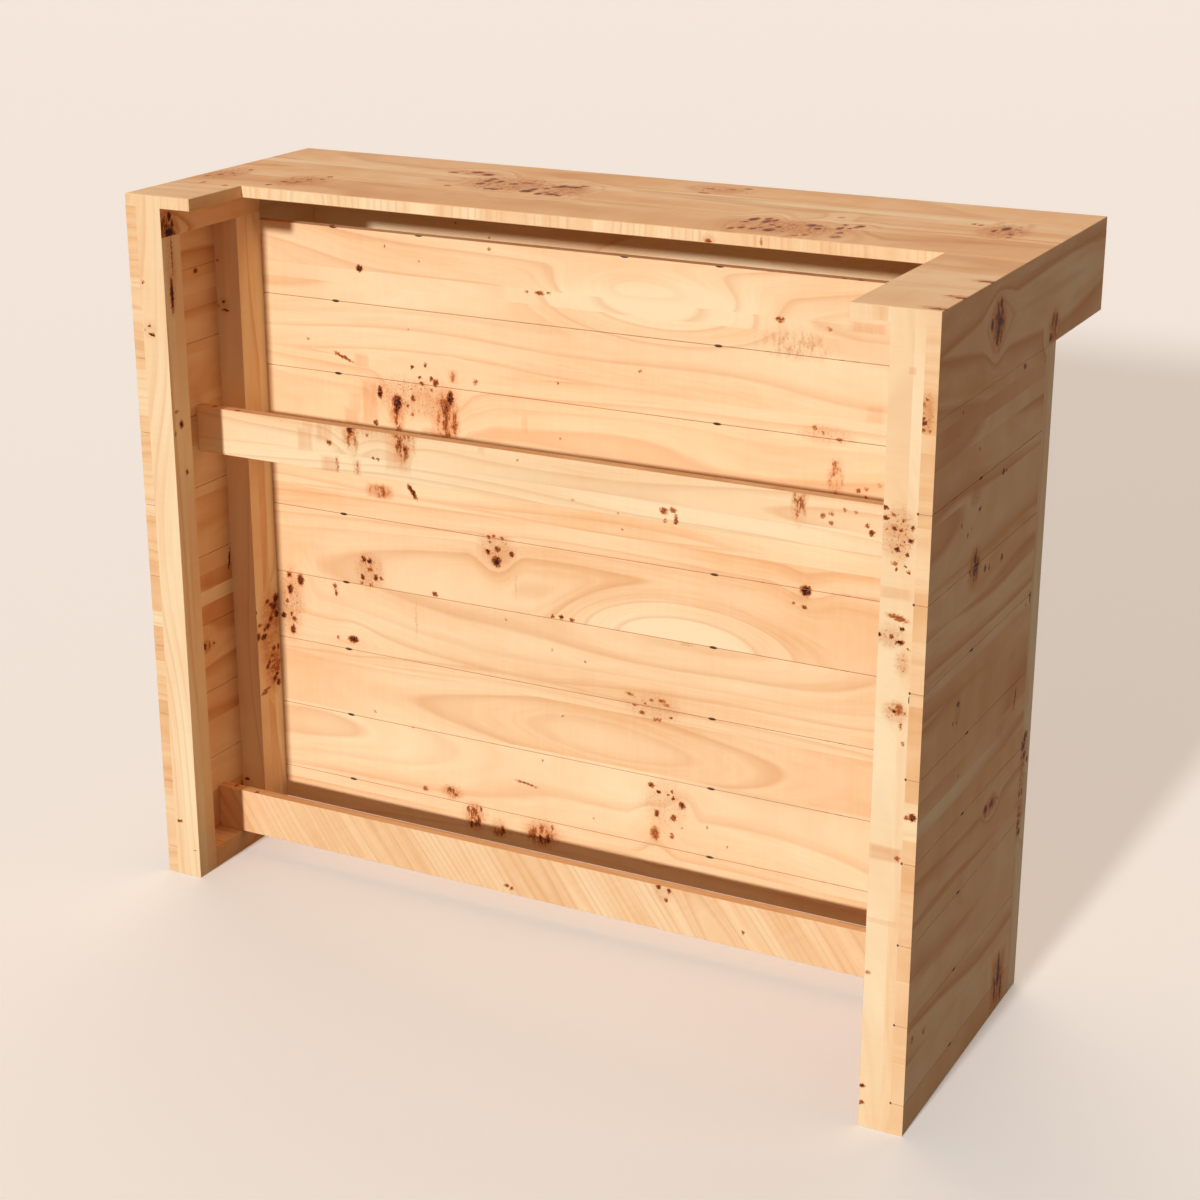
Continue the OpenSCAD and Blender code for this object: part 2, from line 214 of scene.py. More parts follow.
# Figure and knots of one face, all in millimetres of the part's own frame. In a face's dictionary, axes
# says which of x, y and z runs along the grain, across it and into the wood, seed picks its chances, tone
# is how dark its first lath is, and laths gives where each next one starts and its own tone. contrast,
# lines and stain scale the bands, the late lines and the marks, turn slants the grain by degrees, and
# bow, ring, pith and fleck stand in for the figure's.
def poplarMaterial(name, face, marks):
    material = bpy.data.materials.new(name)
    material.use_nodes = True
    tree = material.node_tree
    tree.nodes.clear()
    spot = addNode(tree, "TexCoord", {}).outputs["Object"]
    place = addNode(tree, "VectorMath", {0: spot, "Scale": 1 / mm}, operation="SCALE")
    parts = addNode(tree, "SeparateXYZ", {0: place})
    along, across, into = (parts.outputs["xyz".index(axis)] for axis in face["axes"])
    turned = addNode(tree, "CombineXYZ", {0: along, 1: across, 2: into})
    slant = math.radians(face.get("turn", 0))
    grain = addNode(tree, "Mapping", {"Vector": turned, "Rotation": (0, 0, slant)})
    run = addNode(tree, "SeparateXYZ", {0: grain})

    # Laths glued edge to edge: each has its own heart, its own stretch of the log and its own tone
    lath = face["seed"]
    tone = last = face.get("tone", 0)
    for line, toneAbove in face["laths"]:
        above = addNode(tree, "Math", {0: across, 1: line}, operation="GREATER_THAN")
        lath = addNode(tree, "Math", {0: above, 1: lath}, operation="ADD")
        tone = addNode(tree, "Math", {0: above, 1: toneAbove - last, 2: tone}, operation="MULTIPLY_ADD")
        last = toneAbove
    chance = addNode(tree, "TexWhiteNoise", {"W": lath}, noise_dimensions="1D")
    dice = addNode(tree, "SeparateColor", {0: chance.outputs["Color"]})
    runAlong = addNode(tree, "Math", {
        0: dice.outputs[0], 1: figure["log"], 2: run.outputs[0],
    }, operation="MULTIPLY_ADD")

    # Marks: soft ellipses, and blocks for the inlays. Knots and stains have a shaken outline, and what
    # swells enough pushes the rings aside.
    found = {}
    push = 0
    if marks:
        ragged = addNode(tree, "TexNoise", {
            "Vector": place, "Scale": 1 / figure["ragged"], "Detail": 3, "Roughness": 0.75,
        })
        shaken = addNode(tree, "VectorMath", {
            0: ragged.outputs["Color"], 1: (0.5, 0.5, 0.5),
        }, operation="SUBTRACT")
        wander = addNode(tree, "VectorMath", {
            0: shaken, 1: [figure["wander"]] * 3, 2: place,
        }, operation="MULTIPLY_ADD")
    for mark in marks:
        kind = mark["kind"]
        marked = addNode(tree, "Group", {
            "Place": place if kind in ("slots", "domes", "inlays") else wander,
            "At": mark["at"], "Turn": mark["turn"], "Half": mark["half"],
            "Strength": mark["strength"], "Found": found.get(kind, 0),
            "Push": mark["push"], "Pushed": push,
        }, node_tree=markGroup(kind, mark["push"] > 0, any(mark["turn"])))
        found[kind] = marked.outputs["Found"]
        if mark["push"]:
            push = marked.outputs["Pushed"]

    # Growth rings round the lath's heart, bent along the log
    slow = addNode(tree, "VectorMath", {
        0: addNode(tree, "CombineXYZ", {0: runAlong, 1: run.outputs[1], 2: run.outputs[2]}),
        1: figure["bend"],
    }, operation="DIVIDE")
    bend = addNode(tree, "TexNoise", {"Vector": slow, "Scale": 1, "Detail": 1, "Roughness": 0.4})
    stray = face.get("bow", figure["bow"])
    bow = addNode(tree, "MapRange", {"Value": bend, "To Min": -stray, "To Max": stray})
    heart = addNode(tree, "MapRange", {
        "Value": dice.outputs[1], "To Min": -figure["heart"], "To Max": figure["heart"],
    })
    side = addNode(tree, "Math", {0: run.outputs[1], 1: heart}, operation="ADD")
    period = addNode(tree, "Math", {0: side, 1: figure["turnBack"]}, operation="PINGPONG")
    depth = addNode(tree, "Math", {0: run.outputs[2], 1: face.get("pith", figure["pith"])}, operation="ADD")
    radius = addNode(tree, "VectorMath", {
        0: addNode(tree, "CombineXYZ", {0: period, 1: depth}),
    }, operation="LENGTH").outputs["Value"]
    bent = addNode(tree, "Math", {0: radius, 1: bow}, operation="ADD")
    bent = addNode(tree, "Math", {0: bent, 1: push}, operation="ADD")
    rings = addNode(tree, "Math", {0: bent, 1: face.get("ring", figure["ring"])}, operation="DIVIDE")
    year = addNode(tree, "Math", {0: rings}, operation="FLOOR")
    strength = addNode(tree, "TexWhiteNoise", {"W": year}, noise_dimensions="1D")
    season = addNode(tree, "Math", {0: rings}, operation="FRACT")
    late = addNode(tree, "ValToRGB", {0: season}, stops=figure["season"])
    line = addNode(tree, "Math", {0: late, 1: strength.outputs["Value"]}, operation="MULTIPLY")

    # Soft bands that follow the rings, and the fine fibre and silky curl that follow the grain
    flow = addNode(tree, "CombineXYZ", {
        0: rings, 1: addNode(tree, "Math", {0: runAlong, 1: figure["band"]}, operation="DIVIDE"),
        2: dice.outputs[2],
    })
    bands = addNode(tree, "TexNoise", {
        "Vector": flow, "Scale": figure["bandsToRing"], "Detail": 4, "Roughness": 0.66,
    })
    threads = addNode(tree, "CombineXYZ", {
        0: addNode(tree, "Math", {0: runAlong, 1: figure["thread"] / figure["fibre"]}, operation="DIVIDE"),
        1: bent, 2: run.outputs[2],
    })
    fibre = addNode(tree, "TexNoise", {"Vector": threads, "Scale": 1 / figure["fibre"], "Detail": 1})
    curl = addNode(tree, "TexNoise", {
        "Vector": addNode(tree, "VectorMath", {0: grain, 1: figure["curl"]}, operation="DIVIDE"),
        "Scale": 1, "Detail": 1,
    })
    broad = addNode(tree, "TexNoise", {"Vector": slow, "Scale": figure["broadToBend"], "Detail": 0})

    # Colour: cream to honey, then the late line, then what the knots leave
    contrast = face.get("contrast", 1)
    shares = dict(toneShares, bands=toneShares["bands"] * contrast)
    signals = {"bands": bands, "broad": broad, "fibre": fibre, "curl": curl, "lath": dice.outputs[2]}
    mixture = addNode(tree, "Math", {0: tone, 1: 0.5 - sum(shares.values()) / 2}, operation="ADD")
    for name, share in shares.items():
        mixture = addNode(tree, "Math", {0: signals[name], 1: share, 2: mixture}, operation="MULTIPLY_ADD")
    if "domes" in found:
        mixture = addNode(tree, "Math", {
            0: found["domes"], 1: -figure["domePales"], 2: mixture,
        }, operation="MULTIPLY_ADD")
    mixture = addNode(tree, "Math", {0: mixture, 1: figure["spread"]}, operation="MULTIPLY")
    colour = addNode(tree, "ValToRGB", {0: mixture}, stops=poplar["wood"])
    mostLine = figure["lateShare"] * face.get("lines", 1)
    lineShare = addNode(tree, "Math", {0: line, 1: mostLine}, operation="MULTIPLY")
    colour = addNode(tree, "Mix", {
        0: lineShare, 6: colour, 7: hexColour(poplar["late"]),
    }, data_type="RGBA").outputs[2]
    start, full = figure["blotch"]
    for kind in ("patches", "inlays"):
        if kind in found:
            least, most = poplar["cover"][kind]
            blotch = addNode(tree, "MapRange", {
                "Value": curl, "From Min": start, "From Max": full, "To Min": least, "To Max": most,
            })
            tint = addNode(tree, "Math", {0: found[kind], 1: blotch}, operation="MULTIPLY")
            colour = addNode(tree, "Mix", {
                0: tint, 6: colour, 7: hexColour(poplar["tint"][kind]),
            }, data_type="RGBA").outputs[2]
    stain = found.get("eyes", 0)
    if "streaks" in found:
        teeth = addNode(tree, "TexNoise", {
            "Vector": addNode(tree, "VectorMath", {0: grain, 1: figure["comb"]}, operation="DIVIDE"),
            "Scale": 1, "Detail": 2, "Roughness": 0.65,
        })
        start, full = figure["teeth"]
        comb = addNode(tree, "MapRange", {
            "Value": teeth, "From Min": start, "From Max": full, "To Min": figure["leastTooth"],
        })
        combed = addNode(tree, "Math", {0: found["streaks"], 1: comb}, operation="MULTIPLY")
        stain = addNode(tree, "Math", {0: stain, 1: combed}, operation="MAXIMUM")
    if {"eyes", "streaks", "patches"} & set(found):
        fleck = addNode(tree, "TexNoise", {
            "Vector": place, "Scale": 1 / face.get("fleck", figure["fleck"]), "Detail": 2, "Roughness": 0.6,
        })
        start, full = figure["fleckNoise"]
        palest, darkest = figure["fleckShares"]
        flecked = addNode(tree, "MapRange", {
            "Value": fleck, "From Min": start, "From Max": full, "To Min": palest, "To Max": darkest,
        })
        stain = addNode(tree, "Math", {0: stain, 1: flecked}, operation="MULTIPLY")
    if "patches" in found:
        start, full = figure["specks"]
        speck = addNode(tree, "MapRange", {"Value": fleck, "From Min": start, "From Max": full})
        specks = addNode(tree, "Math", {0: found["patches"], 1: speck}, operation="MULTIPLY")
        stain = addNode(tree, "Math", {0: stain, 1: specks}, operation="MAXIMUM")
    if {"eyes", "streaks", "patches"} & set(found):
        shade = addNode(tree, "ValToRGB", {0: stain}, stops=poplar["stain"])
        cover = addNode(tree, "MapRange", {"Value": stain, "From Max": figure["cover"]})
        colour = addNode(tree, "Mix", {0: cover, 6: colour, 7: shade}, data_type="RGBA").outputs[2]
    # Painted shade: a slot is a small hole at a joint, and its dark inside is painted near black
    if "slots" in found:
        colour = addNode(tree, "Mix", {
            0: found["slots"], 6: colour, 7: hexColour(poplar["gap"]),
        }, data_type="RGBA").outputs[2]

    # The sanded fibre runs straight here, because a bump works its height out three times over
    pores = addNode(tree, "TexNoise", {
        "Vector": addNode(tree, "VectorMath", {0: grain, 1: figure["pores"]}, operation="DIVIDE"),
        "Scale": 1, "Detail": 1,
    })
    bump = addNode(tree, "Bump", {
        "Height": pores, "Strength": poplar["bump"], "Distance": poplar["grip"] * mm,
    })
    smoothest, roughest = poplar["roughness"]
    gloss = addNode(tree, "MapRange", {"Value": fibre, "To Min": smoothest, "To Max": roughest})
    shader = addNode(tree, "BsdfPrincipled", {
        "Base Color": colour, "Roughness": gloss, "Normal": bump,
        "IOR": poplar["ior"], "Specular IOR Level": poplar["specular"],
    })
    addNode(tree, "OutputMaterial", {"Surface": shader})
    return material


# Marks are written in the plane of a face, in mm: first axis, second axis, half width, half height,
# strength and, if need be, turn in degrees and the start of the only nodes' names that have it.
# A dome's strength is how many mm it swells the rings by.
def marksOf(face):
    marks = []
    a, b = ("xyz".index(axis) for axis in face["plane"])
    through = 3 - a - b
    endless = 1e5
    for kind in reach:
        for row in face.get(kind, ()):
            first, second, halfFirst, halfSecond, strength = row[:5]
            angle = math.radians(row[5]) if len(row) > 5 else 0
            at, half, turn = [0, 0, 0], [endless] * 3, [0, 0, 0]
            at[a], at[b] = first, second
            half[a], half[b] = halfFirst, halfSecond
            turn[through] = -angle if through == 1 else angle
            swell = {"domes": strength, "eyes": figure["push"] * min(halfFirst, halfSecond)}.get(kind, 0)
            marks.append({
                "kind": kind, "at": at, "half": half, "turn": turn,
                "strength": 1 if kind == "domes" else strength * face.get("stain", 1),
                "push": swell if swell > figure["leastPush"] else 0,
                "axes": (a, b), "size": max(halfFirst, halfSecond),
                "only": row[6] if len(row) > 6 else "",
            })
    return marks


# The marks of a face that reach into a node's box
def marksIn(node, marks):
    low, high = (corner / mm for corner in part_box(node))
    here = []
    for mark in marks:
        spread = (pushReach if mark["push"] else reach)[mark["kind"]][0]
        widest = spread * mark["size"] + figure["overlap"]
        inBox = all(low[i] - widest < mark["at"][i] < high[i] + widest for i in mark["axes"])
        if inBox and node.startswith(mark["only"]):
            here.append(mark)
    return here


# Front panel and every face like it: towards the server, grain from side to side
panelFace = {
    "axes": "xzy", "plane": "xz", "seed": 3.0, "tone": 0.0, "contrast": 0.8, "bow": 34, "pith": 50,
    "laths": [(86, -0.1), (225, 0.06), (315, 0.04), (449, 0.08), (600, -0.08), (655, -0.16), (709, -0.14),
              (825, 0.04), (940, -0.04), (962, 0.03)],
    "eyes": [
        (-425, 965, 6, 5, 1.0), (-111, 958, 7, 3, 0.6), (-133, 958, 3, 2, 0.5), (-95, 960, 3, 2, 0.5),
        (274, 959, 7, 4, 0.6), (350, 953, 4, 3, 0.4), (-196, 1016, 3, 3, 0.35),
        (-336, 820, 3, 3, 0.85), (-322, 806, 3, 3, 0.75), (-318, 796, 4, 4, 0.8), (-302, 806, 3, 4, 0.75),
        (-294, 800, 5, 6, 0.8), (-311, 826, 3, 3, 0.7), (-301, 788, 3, 3, 0.55),
        (-395, 774, 5, 10, 1.0), (-364, 761, 9, 12, 1.0), (-335, 771, 4, 5, 0.7), (-346, 758, 3, 3, 0.6),
        (-337, 745, 3, 3, 0.5), (-268, 779, 6, 12, 0.95), (-327, 710, 3, 2, 0.8), (-318, 709, 3, 2, 0.8),
        (466, 720, 3, 3, 0.7), (473, 710, 4, 4, 1.0), (449, 736, 3, 3, 0.35), (433, 737, 3, 3, 0.35),
        (413, 729, 4, 3, 0.4), (401, 725, 4, 4, 0.5), (413, 716, 4, 3, 0.45),
        (-341, 619, 4, 13, 1.0, 34), (-460, 822, 18, 3, 0.7, -20),
        (95, 654, 5, 5, 0.8), (112, 657, 4, 3, 0.55), (117, 642, 3, 6, 0.75), (98, 638, 3, 3, 0.5),
        (-205, 566, 4, 3, 0.7), (-196, 569, 3, 3, 0.6), (-181, 567, 3, 3, 0.55), (-203, 558, 3, 2, 0.55),
        (-206, 541, 4, 5, 0.85), (-189, 548, 6, 5, 0.75), (-191, 528, 8, 9, 1.0), (-164, 544, 4, 5, 0.95),
        (326, 563, 9, 8, 1.0), (307, 541, 3, 2, 0.6), (325, 537, 4, 3, 0.65),
        (-436, 494, 4, 6, 0.9), (-425, 492, 5, 4, 0.8), (-425, 478, 5, 4, 0.7), (-439, 464, 4, 5, 0.8),
        (-414, 466, 4, 6, 0.8), (-404, 466, 4, 3, 0.6), (-424, 452, 4, 3, 0.6), (-441, 453, 4, 3, 0.6),
        (-304, 456, 5, 4, 0.85), (-78, 455, 4, 4, 0.9), (-93, 454, 3, 3, 0.6), (-59, 453, 4, 3, 0.7),
        (-582, 445, 5, 5, 0.8), (-560, 439, 6, 10, 0.9), (-581, 420, 5, 9, 0.95), (-588, 399, 3, 4, 0.75),
        (-596, 373, 5, 5, 0.95), (-581, 377, 3, 4, 0.8), (-576, 369, 5, 4, 0.7), (-579, 351, 5, 8, 0.85),
        (-493, 439, 4, 5, 0.6), (-491, 428, 3, 5, 0.7), (-461, 353, 9, 6, 1.0), (-491, 351, 3, 3, 0.7),
        (41, 349, 7, 3, 0.45, -10), (78, 346, 4, 3, 0.5), (96, 348, 7, 4, 0.5), (68, 338, 3, 2, 0.5),
        (51, 333, 5, 2, 0.5), (62, 323, 5, 3, 0.7), (104, 342, 6, 3, 0.45), (88, 316, 7, 3, 0.55),
        (112, 323, 4, 2, 0.55), (79, 205, 6, 4, 0.75), (92, 196, 4, 3, 0.8), (115, 200, 3, 3, 0.7),
        (108, 194, 3, 2, 0.7), (117, 190, 3, 3, 0.85), (132, 181, 6, 6, 0.8), (89, 159, 4, 6, 0.75),
        (118, 157, 5, 5, 0.8), (86, 124, 8, 12, 0.55), (115, 126, 3, 5, 0.5),
        (364, 759, 4, 6, 0.4), (332, 809, 4, 4, 0.5), (370, 796, 5, 3, 0.5), (345, 803, 3, 3, 0.5),
        (-285, 123, 4, 5, 0.65), (-273, 115, 4, 4, 0.6), (-331, 115, 5, 4, 0.55), (-250, 95, 3, 6, 0.75),
        (-227, 100, 2, 6, 0.7), (-245, 70, 3, 7, 0.8), (-187, 72, 3, 8, 0.7), (-117, 71, 3, 9, 0.85),
        (-104, 74, 4, 9, 0.8), (-96, 94, 2, 6, 0.6), (-142, 162, 20, 2, 0.55, -8), (-276, 770, 15, 8, 0.55),
        (-367, 748, 6, 6, 0.8), (-263, 813, 4, 9, 0.35), (-223, 810, 4, 5, 0.4), (-405, 724, 5, 4, 0.7),
        (-379, 1004, 2, 2, 0.4), (-318, 986, 2, 2, 0.4), (-341, 879, 2, 2, 0.4), (-81, 825, 2, 2, 0.4),
        (-78, 740, 2, 2, 0.4), (55, 859, 3, 2, 0.4), (86, 683, 2, 2, 0.4), (13, 692, 2, 2, 0.4),
        (27, 612, 2, 2, 0.4), (-526, 845, 3, 2, 0.5), (-423, 233, 3, 2, 0.4), (-352, 219, 2, 2, 0.4),
        (-176, 435, 2, 2, 0.4), (-94, 398, 2, 2, 0.4), (-37, 388, 2, 2, 0.4), (-76, 291, 2, 2, 0.4),
        (-112, 208, 2, 2, 0.4), (-21, 126, 2, 2, 0.4), (133, 143, 2, 2, 0.4), (176, 153, 2, 2, 0.4),
        (209, 127, 2, 2, 0.4),
        (159, 697, 6, 5, 0.65, 0, "mid"), (173, 700, 6, 4, 0.5, 0, "mid"), (178, 685, 3, 9, 0.6, 0, "mid"),
        (161, 681, 3, 5, 0.4, 0, "mid"),
    ],
    "streaks": [
        (-274, 748, 20, 42, 0.75), (-364, 738, 12, 30, 0.55), (-401, 612, 24, 11, 0.65),
        (-392, 690, 3, 14, 0.6),
        (-355, 689, 2, 14, 0.5), (366, 738, 12, 30, 0.5), (300, 925, 60, 22, 0.25), (-238, 84, 15, 22, 0.8),
        (-193, 70, 13, 13, 0.75), (-117, 78, 26, 19, 0.75), (-279, 118, 15, 10, 0.5), (-331, 115, 7, 6, 0.4),
        (-340, 408, 2, 32, 0.2), (-157, 490, 2, 20, 0.2),
    ],
    "patches": [
        (-330, 772, 85, 32, 0.5), (-425, 475, 26, 30, 0.55), (-582, 400, 26, 60, 0.6),
        (105, 648, 18, 16, 0.45), (-190, 548, 32, 26, 0.5), (80, 335, 50, 24, 0.35), (102, 175, 40, 40, 0.3),
        (-280, 119, 22, 14, 0.45), (-238, 82, 24, 28, 0.45), (-193, 72, 22, 18, 0.4),
        (-113, 80, 36, 24, 0.6),
        (350, 800, 40, 14, 0.35), (-366, 745, 16, 12, 0.6), (136, 447, 12, 3, 0.4), (318, 556, 16, 12, 0.3),
    ],
    "inlays": [
        (-414, 757, 15, 36, 0.35), (-442, 751, 12, 19, 0.2), (-401, 612, 25, 12, 0.45),
        (-427, 821, 14, 11, 0.3),
        (-280, 748, 24, 36, 0.25), (-449, 724, 14, 19, 0.3), (-371, 737, 12, 12, 0.3),
        (-283, 722, 23, 30, 0.35),
        (-405, 689, 17, 15, 0.35), (-356, 690, 8, 14, 0.3), (407, 960, 29, 8, 0.35), (422, 838, 14, 14, 0.2),
        (-139, 755, 6, 14, 0.2), (-263, 813, 10, 12, 0.25),
    ],
    "domes": [(128, 455, 260, 90, 50, 0, "front_board_5"), (75, 957, 260, 70, 34)],
    "slots": [],
}

# Uprights seen from the same side, and the planks' cut ends: grain up and down
postFace = {
    "axes": "zxy", "plane": "xz", "seed": 31.0, "tone": -0.1,
    "laths": [(-520, -0.05), (-330, -0.12), (-150, 0.0), (40, -0.1), (160, 0.02), (350, -0.08), (500, 0.0),
              (602, -0.12), (636, 0.0)],
    "eyes": [
        (608, 855, 4, 3, 0.85), (609, 842, 5, 3, 0.8), (620, 847, 3, 3, 0.7), (632, 841, 2, 3, 0.7),
        (644, 834, 2, 4, 0.85), (642, 817, 4, 3, 0.85), (625, 804, 4, 3, 0.95), (639, 799, 3, 3, 0.8),
        (621, 830, 4, 3, 0.75), (629, 829, 3, 3, 0.7), (637, 598, 6, 8, 0.5),
        (623, 786, 4, 3, 0.45), (637, 784, 2, 2, 0.8),
        (626, 779, 2, 2, 0.8), (641, 777, 3, 2, 0.7), (636, 703, 3, 3, 0.95), (607, 692, 3, 3, 0.95),
        (634, 686, 6, 3, 1.0), (623, 691, 3, 3, 0.8), (645, 678, 2, 2, 0.7), (630, 717, 14, 4, 0.5, -12),
        (631, 595, 3, 3, 0.9), (645, 594, 2, 2, 0.8), (640, 577, 2, 5, 0.5), (643, 397, 4, 4, 0.5),
        (644, 554, 2, 3, 0.4), (611, 228, 4, 3, 0.35), (609, 61, 4, 3, 1.0), (609, 36, 4, 3, 0.6),
        (-645, 969, 2, 2, 0.7), (-638, 904, 3, 2, 1.0), (-634, 891, 6, 2, 1.0), (-647, 897, 1, 2, 0.7),
        (-641, 94, 5, 2, 0.9), (-614, 47, 3, 1, 0.8), (216, 1084, 5, 4, 0.75), (294, 1091, 2, 6, 0.4),
    ],
    "patches": [
        (626, 825, 22, 34, 0.6), (622, 692, 18, 16, 0.5), (638, 659, 9, 16, 0.5), (632, 594, 16, 14, 0.6),
        (-637, 898, 12, 14, 0.3), (216, 1086, 12, 8, 0.4),
    ],
    "inlays": [
        (627, 400, 24, 11, 0.42), (626, 748, 22, 8, 0.3), (627, 304, 23, 4, 0.25), (635, 1026, 5, 5, 0.3),
        (616, 404, 10, 8, 0.3),
    ],
    "slots": [(649.5, 613, 1, 5, 1.0)],
}

# Outer sides and every face like them: grain from near to far
sideFace = {
    # The laths' differences from each other are the wood's own; that all the sideways faces are darker and
    # warmer than the front's is painted shade, set as for faces out of the key light
    "axes": "yzx", "plane": "yz", "seed": 17.0, "tone": 0.3,
    "contrast": 1.5, "lines": 3, "bow": 12, "ring": 8, "pith": 20, "stain": 1.3,
    "laths": [(46, 0.1), (102, 0.2), (226, 0.25), (300, 0.2), (366, 0.3), (424, -0.2), (448, 0.2),
              (476, 0.3), (605, 0.05), (690, 0.2), (752, 0.1), (835, 0.25), (905, 0.2), (928, 0.15),
              (951, 0.3)],
    "eyes": [
        (-118, 1067, 5, 7, 0.85), (-131, 1064, 3, 6, 0.6), (-120, 1044, 11, 8, 1.0),
        (-125, 1031, 6, 9, 0.95),
        (-150, 1045, 5, 8, 0.85), (-107, 1039, 3, 6, 0.7), (-127, 1020, 4, 6, 0.85),
        (-112, 1056, 3, 6, 0.75),
        (-126, 1054, 4, 5, 0.7), (124, 997, 5, 11, 0.6), (101, 977, 6, 6, 0.65),
        (-4, 961, 6, 4, 0.6), (-244, 957, 3, 2, 0.7),
        (-173, 893, 3, 2, 0.5), (-70, 837, 5, 4, 0.9), (-57, 836, 3, 2, 0.6), (-159, 811, 4, 3, 0.8),
        (-188, 794, 2, 2, 0.7), (-202, 788, 2, 3, 0.6), (-227, 808, 3, 3, 0.4), (-169, 748, 4, 7, 0.9),
        (-165, 744, 3, 17, 0.75), (-166, 729, 5, 5, 0.9), (-124, 721, 4, 5, 0.8), (-108, 718, 3, 4, 0.7),
        (-186, 734, 3, 3, 0.6), (-56, 716, 5, 4, 0.9), (83, 617, 3, 8, 1.0), (67, 612, 3, 3, 0.4),
        (-204, 562, 5, 4, 1.0), (-206, 537, 2, 2, 0.7), (-221, 541, 2, 2, 0.6), (-187, 456, 2, 2, 0.6),
        (-63, 358, 6, 5, 0.95), (-38, 356, 7, 6, 0.85), (-11, 354, 3, 3, 0.5), (42, 482, 2, 17, 1.0, -12),
        (43, 60, 5, 28, 1.0), (30, 34, 4, 20, 0.9), (58, 28, 4, 20, 0.9), (-275, 124, 5, 5, 0.35),
        (-319, 134, 4, 6, 0.35),
    ],
    "streaks": [
        (40, 48, 26, 42, 0.5), (-126, 1040, 26, 34, 0.6), (116, 988, 22, 24, 0.6), (-166, 736, 20, 26, 0.6),
        (-45, 354, 30, 12, 0.6),
    ],
    "patches": [
        (-124, 1046, 30, 32, 0.55), (-168, 735, 26, 28, 0.5), (-45, 355, 32, 13, 0.6),
        (-206, 552, 14, 22, 0.4), (-15, 461, 17, 15, 0.3), (113, 984, 18, 20, 0.6),
        (-178, 834, 20, 14, 0.45),
    ],
    "inlays": [(42, 48, 32, 46, 0.6)],
    "slots": [],
}

# Upright pieces seen from the side: grain up and down
sidePostFace = {
    "axes": "zyx", "plane": "yz", "seed": 43.0, "tone": 0.05, "lines": 1.5, "bow": 30, "ring": 8, "pith": 40,
    # Painted light: the lath from y 89 on, which the corner trims hold, is set paler, as for a trim lit by
    # the sky more than the boards
    "laths": [(-305, -0.05), (-118, 0.05), (70, 0.0), (89, -0.2)],
    "eyes": [
        (79, 404, 6, 4, 0.8), (102, 402, 6, 8, 1.0), (96, 390, 8, 6, 0.95), (89, 396, 6, 3, 0.9),
        (103, 375, 6, 7, 0.95), (86, 372, 6, 6, 0.9), (77, 362, 6, 5, 0.9), (69, 359, 5, 4, 0.75),
        (55, 370, 5, 3, 0.6), (65, 347, 8, 5, 1.0), (50, 352, 5, 6, 0.85), (70, 348, 5, 3, 0.8),
        (91, 319, 6, 5, 0.75), (103, 318, 3, 6, 0.8), (85, 308, 5, 3, 0.65), (94, 297, 4, 2, 0.6),
        (77, 299, 4, 5, 0.8), (72, 293, 5, 5, 0.8), (96, 272, 5, 4, 0.9), (90, 267, 6, 5, 0.8),
        (100, 256, 6, 6, 0.85), (68, 255, 11, 2, 0.7), (59, 250, 9, 3, 0.6), (47, 394, 2, 4, 0.7),
        (-117, 1008, 2, 30, 0.5), (-122, 951, 4, 26, 1.0), (118, 363, 4, 5, 0.6), (110, 404, 4, 6, 0.7),
        (-118, 751, 5, 6, 0.9), (-111, 674, 3, 4, 0.7), (-134, 740, 2, 5, 0.6), (-128, 773, 6, 2, 0.4),
    ],
    "streaks": [(98, 383, 16, 32, 0.6), (92, 282, 18, 36, 0.6)],
    "patches": [(84, 335, 28, 86, 0.8), (-120, 985, 12, 60, 0.4)],
}

